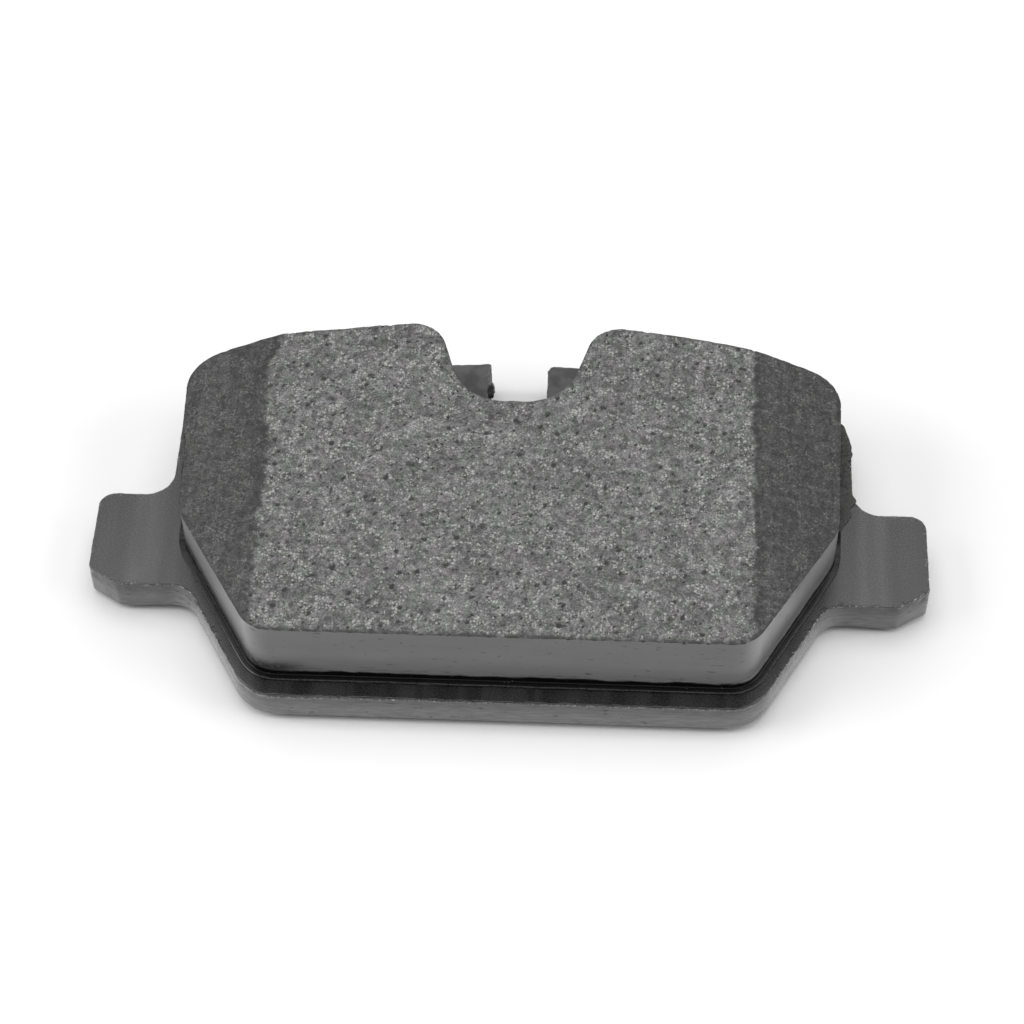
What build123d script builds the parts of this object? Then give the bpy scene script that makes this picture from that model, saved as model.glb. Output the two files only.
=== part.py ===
"""Outer disc-brake pad of a passenger car's rear axle, lying on its back.

The pad is a laminate. From the floor up it is a damping shim (outer rubber, steel core, inner
rubber, adhesive), the steel backing plate with its two guide ears, a bonding film, the moulded
underlayer and the friction block. The disc would stand on the block, facing -Z.

Frame: X runs along the pad, in the direction the disc turns. Y points away from the disc's
centre, towards the horned edge. Z is the thickness. The origin is under the middle of the
pad's outer box, on the floor. All sizes are in millimetres.
"""
from math import atan2, radians, sin, sqrt, tan

from build123d import *
import os

os.makedirs("parts", exist_ok=True)

# ---------------------------------------------------------------- thicknesses of the laminate
outer_rubber_thickness = 0.15
shim_steel_thickness = 0.4
inner_rubber_thickness = 0.15
shim_adhesive_thickness = 0.1
plate_thickness = 5.6
film_thickness = 0.1
underlayer_thickness = 1.8
block_thickness = 9.5

# ---------------------------------------------------------------- backing plate, seen from above
body_width = 101.6            # between the flanks, behind the ears
plate_height = 62.2           # front edge to the tabs beside the sensor slot
front_set_back = 14.7         # flank to the end of the straight front edge, along X
ear_root_set_back = 4.2       # flank to where the slanted side meets the ear, along X
ear_reach = 10.7              # flank to the outer end of an ear
ear_front_from_edge = 18.4    # front edge to the front of the ears
ear_depth = 16.8              # front to rear of an ear
ear_nose_length = 4.6         # slanted nose on the outer front corner of an ear, along X
ear_nose_depth = 2.9          # and along Y
rear_arc_radius = 153.2       # the rear edge is an arc about the disc's axis
front_corner_radius = 7.0
ear_root_radius = 4.0
ear_corner_radius = 2.5
ear_nose_radius = 1.0
rear_corner_radius = 8.0
die_roll_radius = 0.7         # round edge that the press leaves all round the plate's back

# slot that takes the wear sensor's clip, between two short tabs
slot_width = 8.8
slot_depth = 10.0
slot_root_radius = 2.0
slot_mouth_radius = 1.0

# holes that the moulding flows into, and half-sheared pips that locate the shim
plug_hole_diameter = 12.0
plug_pitch = 50.0             # centre to centre along X
plug_from_edge = 29.0         # front edge to the centre
plug_recess = 0.3             # how far the plug ends short of the plate's back
pip_diameter = 5.0
pip_height = 0.5
pip_set_back = 12.8           # flank to the pip's centre
pip_from_shim_rear = 9.5      # rear edge of the shim to the pip's centre

# ---------------------------------------------------------------- moulded friction material
block_front_inset = 3.4       # plate's front edge to the block's front wall
block_slant_inset = 2.5       # square to the plate's slanted side
block_rear_inset = 1.2
block_flank_inset = 2.1       # plate's flank to the block's, at the rear corners
block_waist_inset = 3.1       # and at the front end of the flanks
block_front_radius = 5.0
block_waist_radius = 8.0
block_rear_radius = 6.0
relief_length = 13.2          # block's rear corner to where the wearing face starts to slope down
relief_angle = 11.5           # degrees

# notch between the two horns, over the sensor slot
notch_margin = 3.1            # from the slot's side to the end of the notch's straight bottom
notch_depth = 16.5            # plate's rear edge to the bottom of the notch
notch_lean = 0.3              # how far each side leans out, per millimetre along Y
notch_root_radius = 8.0
horn_radius = 5.0

# the underlayer's foot spreads over the plate a little past the block's walls
foot_width = 0.9
foot_thickness = 0.5
foot_blend = 0.6              # radius between the foot and the wall

# ---------------------------------------------------------------- shim
shim_inset = 1.5              # plate's front edge, slanted sides and flanks to the shim's edge
shim_slot_gap = 1.4           # rear edge of the shim to the root of the sensor slot
shim_corner_radius = 4.0

# ---------------------------------------------------------------- clearances of the fits
film_hole_clearance = 0.2     # film's holes, round the plugs that pass them, on the radius
pip_clearance = 0.25          # shim's holes, round the pips, on the radius
cut_through = 1.0             # how far a cut runs past the face it leaves

# ---------------------------------------------------------------- levels, from the floor up
shim_steel_level = outer_rubber_thickness
inner_rubber_level = shim_steel_level + shim_steel_thickness
shim_adhesive_level = inner_rubber_level + inner_rubber_thickness
plate_level = shim_adhesive_level + shim_adhesive_thickness
film_level = plate_level + plate_thickness
underlayer_level = film_level + film_thickness
block_level = underlayer_level + underlayer_thickness
wearing_face_level = block_level + block_thickness

# ---------------------------------------------------------------- places, about the pad's middle
front_edge = -plate_height / 2
rear_edge = plate_height / 2
flank_x = body_width / 2
front_corner_x = flank_x - front_set_back
ear_root_x = flank_x - ear_root_set_back
ear_end_x = flank_x + ear_reach
ear_front = front_edge + ear_front_from_edge
ear_rear = ear_front + ear_depth
slot_root = rear_edge - slot_depth
shim_rear = slot_root - shim_slot_gap
plug_row = front_edge + plug_from_edge
pip_row = shim_rear - pip_from_shim_rear
block_flank_x = flank_x - block_flank_inset
block_waist_x = flank_x - block_waist_inset
relief_start_x = block_flank_x - relief_length

# the rear arc's highest point, over the middle of the slot, where the slot has cut it away
tab_x = slot_width / 2 + slot_mouth_radius
rear_arc_apex = rear_edge + rear_arc_radius - sqrt(rear_arc_radius**2 - tab_x**2)

# angle of the plate's slanted side, from the front corner to the ear
slant = atan2(ear_front_from_edge, ear_root_x - front_corner_x)


def rear_arc_y(x, inset):
    """Y of the rear arc at x, on the plate's own arc or on one that lies inset inside it."""
    radius = rear_arc_radius - inset
    return rear_arc_apex - rear_arc_radius + sqrt(radius**2 - x**2)


def slant_x(y, inset):
    """X of the plate's slanted side at y, moved inwards by inset square to itself."""
    return front_corner_x + (y - front_edge) / tan(slant) - inset / sin(slant)


def slant_y(x, inset):
    """Y of the same line at x."""
    return front_edge + (x - front_corner_x + inset / sin(slant)) * tan(slant)


def limited(radius, wall):
    """The radius, or less where the wall beside the corner is too short for it."""
    return min(radius, 0.9 * wall)


def corners(sketch, x, y):
    """The two mirrored corners of a sketch that lie at (x, y) and (-x, y)."""
    near = 0.02
    return [v for v in sketch.vertices() if abs(abs(v.X) - x) < near and abs(v.Y - y) < near]


def rearmost_corners(sketch):
    """The two corners furthest to the rear."""
    return sketch.vertices().group_by(Axis.Y)[-1]


def plate_outline():
    """The plate's outer edge with its ears, tabs and sensor slot, as a flat sketch."""
    flank_top = rear_arc_y(flank_x, 0)
    nose_x = ear_end_x - ear_nose_length
    nose_y = ear_front + ear_nose_depth
    with BuildSketch() as outline:
        with BuildLine():
            Polyline(
                (0, front_edge),
                (front_corner_x, front_edge),
                (ear_root_x, ear_front),
                (nose_x, ear_front),
                (ear_end_x, nose_y),
                (ear_end_x, ear_rear),
                (flank_x, ear_rear),
                (flank_x, flank_top),
            )
            ThreePointArc(
                (flank_x, flank_top),
                (flank_x / 2, rear_arc_y(flank_x / 2, 0)),
                (0, rear_arc_apex),
            )
            mirror(about=Plane.YZ)
        make_face()
        fillet(corners(outline, front_corner_x, front_edge), front_corner_radius)
        fillet(corners(outline, ear_root_x, ear_front), ear_root_radius)
        fillet(corners(outline, nose_x, ear_front), ear_nose_radius)
        fillet(corners(outline, ear_end_x, nose_y), ear_nose_radius)
        fillet(corners(outline, ear_end_x, ear_rear), ear_corner_radius)
        fillet(corners(outline, flank_x, ear_rear), ear_root_radius)
        rear_wall = flank_top - ear_rear - ear_root_radius
        fillet(corners(outline, flank_x, flank_top), limited(rear_corner_radius, rear_wall))
        with Locations((0, rear_edge)):
            Rectangle(slot_width, 2 * slot_depth, mode=Mode.SUBTRACT)
        fillet(corners(outline, slot_width / 2, slot_root), slot_root_radius)
        fillet(rearmost_corners(outline), slot_mouth_radius)
    return outline.sketch


def block_outline():
    """The friction block's outer wall, with its two horns and the notch between them."""
    front_wall = front_edge + block_front_inset
    front_x = slant_x(front_wall, block_slant_inset)
    waist_y = slant_y(block_waist_x, block_slant_inset)
    flank_top = rear_arc_y(block_flank_x, block_rear_inset)
    notch_bottom = rear_edge - notch_depth
    notch_bottom_x = slot_width / 2 + notch_margin
    notch_mouth = rear_arc_apex + cut_through
    notch_mouth_x = notch_bottom_x + notch_lean * (notch_mouth - notch_bottom)
    with BuildSketch() as outline:
        with BuildLine():
            Polyline(
                (0, front_wall),
                (front_x, front_wall),
                (block_waist_x, waist_y),
                (block_flank_x, flank_top),
            )
            ThreePointArc(
                (block_flank_x, flank_top),
                (block_flank_x / 2, rear_arc_y(block_flank_x / 2, block_rear_inset)),
                (0, rear_arc_y(0, block_rear_inset)),
            )
            mirror(about=Plane.YZ)
        make_face()
        fillet(corners(outline, front_x, front_wall), block_front_radius)
        flank_wall = (flank_top - waist_y) / 2
        fillet(corners(outline, block_waist_x, waist_y), limited(block_waist_radius, flank_wall))
        fillet(corners(outline, block_flank_x, flank_top), limited(block_rear_radius, flank_wall))
        with BuildLine():
            Polyline(
                (-notch_bottom_x, notch_bottom),
                (notch_bottom_x, notch_bottom),
                (notch_mouth_x, notch_mouth),
                (-notch_mouth_x, notch_mouth),
                close=True,
            )
        make_face(mode=Mode.SUBTRACT)
        fillet(rearmost_corners(outline), horn_radius)
        fillet(corners(outline, notch_bottom_x, notch_bottom), notch_root_radius)
    return outline.sketch


def shim_outline():
    """The shim's outer edge: the plate's own shape, inset, and cut off short of the slot."""
    front = front_edge + shim_inset
    front_x = slant_x(front, shim_inset)
    side_x = flank_x - shim_inset
    side_y = slant_y(side_x, shim_inset)
    with BuildSketch() as outline:
        with BuildLine():
            Polyline((0, front), (front_x, front), (side_x, side_y), (side_x, shim_rear), (0, shim_rear))
            mirror(about=Plane.YZ)
        make_face()
        side_wall = (shim_rear - side_y) / 2
        fillet(corners(outline, front_x, front), shim_corner_radius)
        fillet(corners(outline, side_x, side_y), limited(shim_corner_radius, side_wall))
        fillet(corners(outline, side_x, shim_rear), limited(shim_corner_radius, side_wall))
    return outline.sketch


plate_shape = plate_outline()
block_shape = block_outline()
shim_shape = shim_outline()

# places of the moulding's plugs and of the shim's pips
plug_places = [(-plug_pitch / 2, plug_row), (plug_pitch / 2, plug_row)]
pip_places = [(pip_set_back - flank_x, pip_row), (flank_x - pip_set_back, pip_row)]


def make_shim_layer(level, thickness):
    """One sheet of the shim, with a hole for each pip of the plate."""
    with BuildPart() as layer:
        with BuildSketch(Plane.XY.offset(level)):
            add(shim_shape)
            with Locations(*pip_places):
                Circle(pip_diameter / 2 + pip_clearance, mode=Mode.SUBTRACT)
        extrude(amount=thickness)
    return layer


# ---------------------------------------------------------------- damping shim
shim_outer_rubber = make_shim_layer(0, outer_rubber_thickness)
shim_steel = make_shim_layer(shim_steel_level, shim_steel_thickness)
shim_inner_rubber = make_shim_layer(inner_rubber_level, inner_rubber_thickness)
shim_adhesive = make_shim_layer(shim_adhesive_level, shim_adhesive_thickness)

# ---------------------------------------------------------------- backing plate
with BuildPart() as backing_plate:
    with BuildSketch(Plane.XY.offset(plate_level)):
        add(plate_shape)
        with Locations(*plug_places):
            Circle(plug_hole_diameter / 2, mode=Mode.SUBTRACT)
    extrude(amount=plate_thickness)
    back_face = backing_plate.faces().sort_by(Axis.Z)[0]
    fillet(back_face.outer_wire().edges(), die_roll_radius)
    # a pip is pushed half through the plate, so it leaves a dimple in the other face
    with BuildSketch(Plane.XY.offset(plate_level)):
        with Locations(*pip_places):
            Circle(pip_diameter / 2)
    extrude(amount=-pip_height)
    with BuildSketch(Plane.XY.offset(film_level)):
        with Locations(*pip_places):
            Circle(pip_diameter / 2)
    extrude(amount=-pip_height, mode=Mode.SUBTRACT)

# ---------------------------------------------------------------- bonding film
with BuildPart() as bonding_film:
    with BuildSketch(Plane.XY.offset(film_level)):
        add(block_shape)
        offset(amount=foot_width, kind=Kind.ARC)
        with Locations(*plug_places):
            Circle(plug_hole_diameter / 2 + film_hole_clearance, mode=Mode.SUBTRACT)
        with Locations(*pip_places):
            Circle(pip_diameter / 2 + film_hole_clearance, mode=Mode.SUBTRACT)
    extrude(amount=film_thickness)

# ---------------------------------------------------------------- underlayer
with BuildPart() as underlayer:
    with BuildSketch(Plane.XY.offset(underlayer_level)):
        add(block_shape)
        offset(amount=foot_width, kind=Kind.ARC)
    extrude(amount=foot_thickness)
    with BuildSketch(Plane.XY.offset(underlayer_level)):
        add(block_shape)
    extrude(amount=underlayer_thickness)
    # the wall runs out into the foot
    fillet(underlayer.edges(Select.NEW), foot_blend)
    # plugs fill the plate's holes, and stop just short of its back
    with BuildSketch(Plane.XY.offset(underlayer_level)):
        with Locations(*plug_places):
            Circle(plug_hole_diameter / 2)
    extrude(amount=-(film_thickness + plate_thickness - plug_recess))
    with BuildSketch(Plane.XY.offset(underlayer_level)):
        with Locations(*pip_places):
            Circle(pip_diameter / 2)
    extrude(amount=-(film_thickness + pip_height))

# ---------------------------------------------------------------- friction block
with BuildPart() as friction_block:
    with BuildSketch(Plane.XY.offset(block_level)):
        add(block_shape)
    extrude(amount=block_thickness)
    # both ends of the wearing face slope down, so that the disc runs on without grabbing
    relief_end_x = block_flank_x + cut_through
    relief_end_level = wearing_face_level - (relief_end_x - relief_start_x) * tan(radians(relief_angle))
    with BuildSketch(Plane.XZ):
        with BuildLine():
            Polyline(
                (relief_start_x, wearing_face_level),
                (relief_end_x, relief_end_level),
                (relief_end_x, wearing_face_level),
                close=True,
            )
        make_face()
        mirror(about=Plane.YZ)
    extrude(amount=plate_height, both=True, mode=Mode.SUBTRACT)

pieces = {
    "shim_outer_rubber": shim_outer_rubber,
    "shim_steel": shim_steel,
    "shim_inner_rubber": shim_inner_rubber,
    "shim_adhesive": shim_adhesive,
    "backing_plate": backing_plate,
    "bonding_film": bonding_film,
    "underlayer": underlayer,
    "friction_block": friction_block,
}
for name, piece in pieces.items():
    piece.part.label = name
    export_step(piece.part, f"parts/{name}.step")
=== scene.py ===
"""Looks of a flat disc-brake pad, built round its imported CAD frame.

Lengths in the frame are metres: +X along the pad, +Y towards the horned edge, +Z up to the wearing
face. Each new piece takes its outline and its levels from the CAD node that it stands for.
"""

import math

import bpy
import numpy as np
from bpy.props import FloatProperty, FloatVectorProperty, IntProperty, PointerProperty
from mathutils import Matrix, Vector
from mathutils.geometry import tessellate_polygon


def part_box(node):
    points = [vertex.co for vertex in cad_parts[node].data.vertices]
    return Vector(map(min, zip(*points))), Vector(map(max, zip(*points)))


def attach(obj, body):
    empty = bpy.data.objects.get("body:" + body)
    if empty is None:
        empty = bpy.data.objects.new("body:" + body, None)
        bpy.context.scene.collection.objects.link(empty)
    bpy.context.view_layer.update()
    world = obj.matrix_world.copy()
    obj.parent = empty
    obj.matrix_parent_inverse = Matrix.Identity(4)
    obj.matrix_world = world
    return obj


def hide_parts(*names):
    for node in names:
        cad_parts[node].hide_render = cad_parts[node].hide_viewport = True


bl_info = {
    "name": "Disc Brake Pad",
    "version": (1, 0, 0),
    "blender": (4, 5, 0),
    "location": "View3D > Sidebar > Brake Pad",
    "description": "Builds the detailed surfaces and finishes of a disc brake pad",
    "category": "Object",
}

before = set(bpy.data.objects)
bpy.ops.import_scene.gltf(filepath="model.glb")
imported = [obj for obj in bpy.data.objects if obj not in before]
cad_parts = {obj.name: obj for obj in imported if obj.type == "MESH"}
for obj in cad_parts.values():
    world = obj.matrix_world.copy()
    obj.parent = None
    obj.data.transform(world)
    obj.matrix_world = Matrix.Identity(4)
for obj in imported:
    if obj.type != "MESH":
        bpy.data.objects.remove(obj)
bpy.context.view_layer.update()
MM = 0.001
TURN = 2 * math.pi
HOLE_STEP = 0.4 * MM  # from point to point round a hole
PIP_LIMIT = 8 * MM  # holes narrower than this are the pips' and their dimples'
LATTICE = 256  # squares along each side of a random pattern, before it repeats


# ---- outlines read from the CAD nodes
def corners_and_faces(node):
    """Points and triangles of a CAD node, with equal points made one."""
    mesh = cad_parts[node].data
    points = np.empty(len(mesh.vertices) * 3)
    mesh.vertices.foreach_get("co", points)
    faces = np.empty(len(mesh.loops), int)
    mesh.loops.foreach_get("vertex_index", faces)
    points, places = np.unique(points.reshape(-1, 3).round(8), axis=0, return_inverse=True)
    return points, places.ravel()[faces].reshape(-1, 3)


def rims(node, level):
    """Closed outlines of a node's upright walls at a height, the one that reaches furthest first.

    An outline's edges are the wall triangles' own edges that lie at that height. Each point knows
    the next, so its place in the row is found by doubling: after k steps every point knows the
    point 2**k further on. The outer outline runs anticlockwise seen from above.
    """
    points, faces = corners_and_faces(node)
    flat = np.abs(points[:, 2] - level) < 2e-6
    edges = np.concatenate([faces[:, [0, 1, 2]], faces[:, [1, 2, 0]], faces[:, [2, 0, 1]]])
    upright = flat[edges[:, 0]] & flat[edges[:, 1]] & ~flat[edges[:, 2]]
    start, end, third = edges[upright].T
    if (points[third, 2] < level).mean() > 0.5:
        start, end = end, start
    following = np.full(len(points), -1)
    following[start] = end
    left = set(start.tolist())
    outlines = []
    while left:
        first = max(left, key=lambda i: points[i, 0])
        hop = following.copy()
        steps = (following >= 0).astype(int)
        last = int(np.flatnonzero(following == first)[0])
        hop[last], steps[last] = last, 0
        for _ in range(int(math.log2(len(points))) + 1):
            steps = steps + steps[hop]
            hop = hop[hop]
        members = np.flatnonzero((hop == last) & (following >= 0))
        rank = -steps[members]
        outlines.append(points[members[np.argsort(rank)], :2])
        left -= set(members.tolist())
    return sorted(outlines, key=lambda o: -o[:, 0].max() + o[:, 0].min())


def evenly(outline, step, soften=0.0):
    """An outline's points again, the same distance apart along it.

    The softened one is each point's average with its neighbours, weighted by a bell curve of that
    width, which rounds off the outline's flats.
    """
    closed = np.vstack([outline, outline[:1]])
    along = np.append(0, np.hypot(*np.diff(closed, axis=0).T).cumsum())
    count = int(round(along[-1] / step))
    at = np.arange(count) * along[-1] / count
    ring = np.column_stack([np.interp(at, along, closed[:, i]) for i in (0, 1)])
    if soften:
        reach = np.minimum(np.arange(count), count - np.arange(count)) * along[-1] / count
        bell = np.exp(-0.5 * (reach / soften) ** 2)
        bell = np.fft.fft(bell / bell.sum())
        ring = np.column_stack([np.fft.ifft(np.fft.fft(ring[:, i]) * bell).real for i in (0, 1)])
    return ring


def outward(ring):
    """Unit vectors square to a ring and pointing out of it: its tangent, turned back a quarter."""
    tangent = np.roll(ring, -1, axis=0) - np.roll(ring, 1, axis=0)
    tangent /= np.hypot(*tangent.T)[:, None]
    return np.column_stack([tangent[:, 1], -tangent[:, 0]])


def block_outline(step):
    """The friction block's outline at its foot, in even steps.

    The mould leaves the block fuller at the left towards the horns: each point there moves out,
    square to the outline, by up to 0.62 mm.
    """
    ring = evenly(rims("friction_block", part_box("friction_block")[0].z)[0], step, 0.12 * MM)
    x, y = ring.T
    fuller = 0.62 * MM * bump_up(-x, 24 * MM, 38 * MM) * bump_up(y, 7 * MM, 10.5 * MM)
    return ring + fuller[:, None] * outward(ring)


# ---- random patterns, as whole arrays
def noise(x, y, size, seed):
    """Smooth random height from -1 to 1.

    Random numbers stand on a square lattice of that size, and a place between four of them takes
    their mean, weighted by 3t^2 - 2t^3 along each side.
    """
    table = np.random.default_rng(seed).uniform(-1, 1, (LATTICE, LATTICE))
    x, y = np.broadcast_arrays(np.asarray(x) / size, np.asarray(y) / size)
    i, j = np.floor(x).astype(int), np.floor(y).astype(int)
    s, t = x - i, y - j
    s, t = s * s * (3 - 2 * s), t * t * (3 - 2 * t)
    near, far = (
        table[i % LATTICE, row % LATTICE] * (1 - s) + table[(i + 1) % LATTICE, row % LATTICE] * s
        for row in (j, j + 1)
    )
    return near * (1 - t) + far * t


def rough(x, y, size, seed, layers=3):
    """Layers of noise, each half the size and half the height of the one before."""
    return sum(noise(x, y, size / 2**k, seed + k) / 2**k for k in range(layers))


def spots(x, y, cell, share, smallest, largest, seed):
    """How deep each place lies in a spot: 1 at the spot's centre, falling evenly to 0 at its rim.

    One spot may lie in each square cell, at a random point of it, with a random radius from
    smallest to largest, both as shares of the cell.
    """
    draw = np.random.default_rng(seed)
    centre = draw.uniform(0.1, 0.9, (2, LATTICE, LATTICE))
    radius = draw.uniform(smallest, largest, (LATTICE, LATTICE))
    radius[draw.random((LATTICE, LATTICE)) > share] = 1e-6
    x, y = x / cell, y / cell
    i, j = np.floor(x).astype(int), np.floor(y).astype(int)
    deepest = np.zeros(np.shape(x))
    for di in (-1, 0, 1):
        for dj in (-1, 0, 1):
            at = (i + di) % LATTICE, (j + dj) % LATTICE
            away = np.hypot(x - i - di - centre[0][at], y - j - dj - centre[1][at])
            deepest = np.maximum(deepest, 1 - away / radius[at])
    return deepest


def bump_up(value, low, high):
    """0 below low, 1 above high, and 3t^2 - 2t^3 between them."""
    t = np.clip((value - low) / (high - low), 0, 1)
    return t * t * (3 - 2 * t)


def hump(value, out_low, in_low, in_high, out_high):
    """0 outside the outer two levels, 1 between the inner two, and smooth on the way."""
    return bump_up(value, out_low, in_low) * bump_up(-value, -out_high, -in_high)


def quarter_turn(count):
    """1 - sin and 1 - cos of even steps through a quarter of a turn, as columns."""
    angle = np.linspace(0, 1, count)[:, None] * math.pi / 2
    return 1 - np.sin(angle), 1 - np.cos(angle)


def bitten(points, centres, radii):
    """Chips out of an edge: a point inside a ball moves away from the centre to its surface."""
    for centre, radius in zip(centres, radii):
        away = points - centre
        distance = np.linalg.norm(away, axis=-1, keepdims=True)
        moved = centre + away * radius / np.maximum(distance, 1e-9)
        points = np.where(distance < radius, moved, points)
    return points


# ---- meshes
class Shell:
    """Grids and flat caps of points that make up one closed mesh."""

    def __init__(self):
        self.points, self.faces, self.marks, self.count = [], [], {}, 0

    def add(self, points, **marks):
        """Takes an array of points in, with their marks, and returns their numbers."""
        numbers = self.count + np.arange(points[..., 0].size).reshape(points.shape[:-1])
        self.points.append(points.reshape(-1, 3))
        for name, value in marks.items():
            value = np.broadcast_to(value, points.shape[:-1]).ravel()
            self.marks.setdefault(name, []).append((self.count, value))
        self.count += points[..., 0].size
        return numbers

    def skin(self, numbers, closed=True):
        """Four-sided faces over a grid of point numbers, and round to its first column."""
        if closed:
            numbers = np.column_stack([numbers, numbers[:, :1]])
        corners = numbers[:-1, :-1], numbers[:-1, 1:], numbers[1:, 1:], numbers[1:, :-1]
        self.faces.append(np.stack(corners, axis=-1).reshape(-1, 4))

    def cap(self, *loops, up):
        """A flat face inside the first loop of point numbers and outside the others."""
        everything = np.concatenate(self.points)
        order = np.concatenate(loops)
        lines = [[Vector(p) for p in everything[loop]] for loop in loops]
        found = np.array(tessellate_polygon(lines))
        a, b, c = (everything[order[found[:, i]], :2] for i in range(3))
        turn = (b - a)[:, 0] * (c - a)[:, 1] - (b - a)[:, 1] * (c - a)[:, 0]
        wrong = (turn > 0) != up
        found[wrong] = found[wrong][:, ::-1]
        self.faces.append(order[found])

    def tube(self, ring, levels):
        """An upright wall on a ring of points: the ring again at each height, as a grid."""
        heights = np.asarray(levels)[:, None] * np.ones(len(ring))
        numbers = self.add(np.dstack([*np.broadcast_arrays(*ring.T, heights)]))
        self.skin(numbers[::-1])
        return numbers

    def piece(self, node, material, slot, sharp=35):
        """Makes the mesh object, lets it ride on the body, and stands it in for the CAD node."""
        name = node + "_detail"
        points = np.concatenate(self.points)
        sizes = np.concatenate([np.full(len(f), f.shape[1]) for f in self.faces])
        loops = np.concatenate([f.ravel() for f in self.faces])
        mesh = bpy.data.meshes.new(name)
        mesh.vertices.add(len(points))
        mesh.vertices.foreach_set("co", points.astype(np.float32).ravel())
        mesh.loops.add(len(loops))
        mesh.loops.foreach_set("vertex_index", loops.astype(np.int32))
        mesh.polygons.add(len(sizes))
        starts = np.append(0, sizes.cumsum()[:-1])
        mesh.polygons.foreach_set("loop_start", starts.astype(np.int32))
        mesh.update(calc_edges=True)
        for mark, blocks in self.marks.items():
            values = np.zeros(len(points), np.float32)
            for first, block in blocks:
                values[first : first + len(block)] = block
            mesh.attributes.new(mark, "FLOAT", "POINT").data.foreach_set("value", values)
        mesh.polygons.foreach_set("use_smooth", np.ones(len(sizes), bool))
        mesh.set_sharp_from_angle(angle=math.radians(sharp))
        mesh.validate()
        mesh.materials.append(material)
        piece = bpy.data.objects.new(name, mesh)
        bpy.context.scene.collection.objects.link(piece)
        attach(piece, "root")
        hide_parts(node)


def swept(ring, offsets, heights):
    """A profile carried round a ring.

    Row k is the ring moved outwards by offsets[k], at heights[k]; either may differ from place to
    place along the ring.
    """
    offsets, heights = (np.atleast_2d(np.asarray(v, float).T).T for v in (offsets, heights))
    away = outward(ring)
    x = ring[:, 0] + offsets * away[:, 0]
    y = ring[:, 1] + offsets * away[:, 1]
    return np.dstack(np.broadcast_arrays(x, y, heights))


# ---- materials
def scaled(colour, factor):
    """A colour, so many times as bright."""
    return [c * factor for c in colour]


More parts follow.
